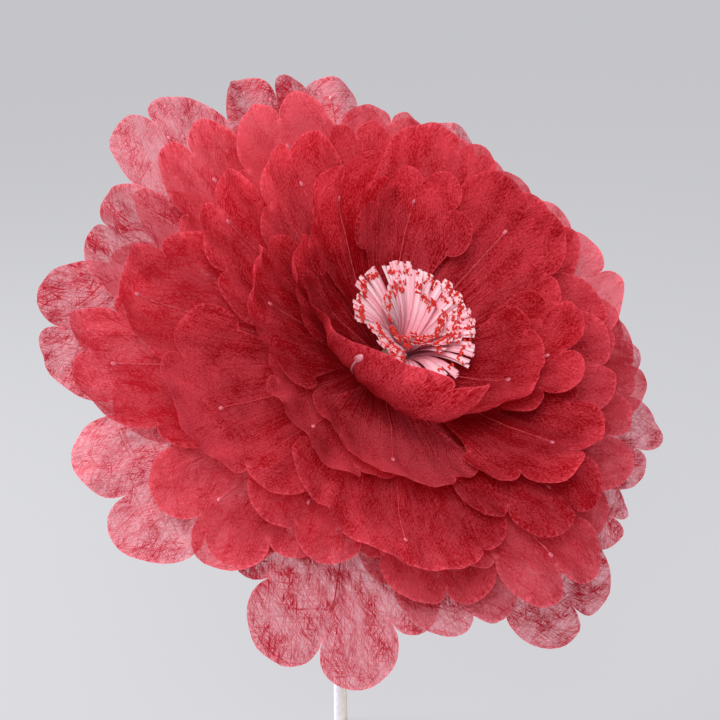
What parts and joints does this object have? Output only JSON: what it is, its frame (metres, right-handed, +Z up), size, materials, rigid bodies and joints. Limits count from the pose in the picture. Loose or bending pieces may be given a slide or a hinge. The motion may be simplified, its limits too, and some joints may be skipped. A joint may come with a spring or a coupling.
{
  "type": "paper peony flower on a pole",
  "caption": "Large layered paper peony with wire-ribbed scalloped petals and a fringed heart, tilted forward on a straight wrapped pole.",
  "frame": {"origin": "middle of the pole's flat cut foot", "axes": "+Z up along the pole, -Y the way the flower head leans, +X to the right seen from the front"},
  "size_m": [0.7691, 0.5589, 0.8127],
  "materials": {
    "outer_paper": "thin long-fibre paper, matt and strongly translucent",
    "second_paper": "thin long-fibre paper, matt, translucent",
    "middle_paper": "thin long-fibre paper, matt",
    "inner_paper": "thin long-fibre paper, matt",
    "fringe_paper": "cut pale pink paper strips with red grains at their tips",
    "pole_wood": "plain dowel",
    "white_paper": "matt wound paper",
    "cream_tape": "matt paper tape",
    "neck_paper": "matt wound paper",
    "binding_paper": "matt paper tape",
    "core_card": "wound card"
  },
  "bodies": {
    "root": {"flower_core": "core_card", "fringe_inner": "fringe_paper", "fringe_middle": "fringe_paper", "fringe_outer": "fringe_paper", "inner_petal_01": "inner_paper", "inner_petal_02": "inner_paper", "inner_petal_03": "inner_paper", "inner_petal_04": "inner_paper", "inner_petal_05": "inner_paper", "inner_petal_06": "inner_paper", "inner_petal_07": "inner_paper", "inner_petal_08": "inner_paper", "middle_petal_01": "middle_paper", "middle_petal_02": "middle_paper", "middle_petal_03": "middle_paper", "middle_petal_04": "middle_paper", "middle_petal_05": "middle_paper", "middle_petal_06": "middle_paper", "middle_petal_07": "middle_paper", "middle_petal_08": "middle_paper", "middle_petal_09": "middle_paper", "middle_petal_10": "middle_paper", "middle_petal_11": "middle_paper", "middle_petal_12": "middle_paper", "middle_petal_13": "middle_paper", "neck_binding": "binding_paper", "neck_bundle": "neck_paper", "outer_petal_01": "outer_paper", "outer_petal_02": "outer_paper", "outer_petal_03": "outer_paper", "outer_petal_04": "outer_paper", "outer_petal_05": "outer_paper", "outer_petal_06": "outer_paper", "outer_petal_07": "outer_paper", "outer_petal_08": "outer_paper", "outer_petal_09": "outer_paper", "outer_petal_10": "outer_paper", "outer_petal_11": "outer_paper", "outer_petal_12": "outer_paper", "outer_petal_13": "outer_paper", "outer_petal_14": "outer_paper", "pole_wrap": "white_paper", "second_petal_01": "second_paper", "second_petal_02": "second_paper", "second_petal_03": "second_paper", "second_petal_04": "second_paper", "second_petal_05": "second_paper", "second_petal_06": "second_paper", "second_petal_07": "second_paper", "second_petal_08": "second_paper", "second_petal_09": "second_paper", "second_petal_10": "second_paper", "second_petal_11": "second_paper", "second_petal_12": "second_paper", "second_petal_13": "second_paper", "second_petal_14": "second_paper", "second_petal_15": "second_paper", "stem_pole": "pole_wood", "tape_strip": "cream_tape"}
  },
  "joints": []
}
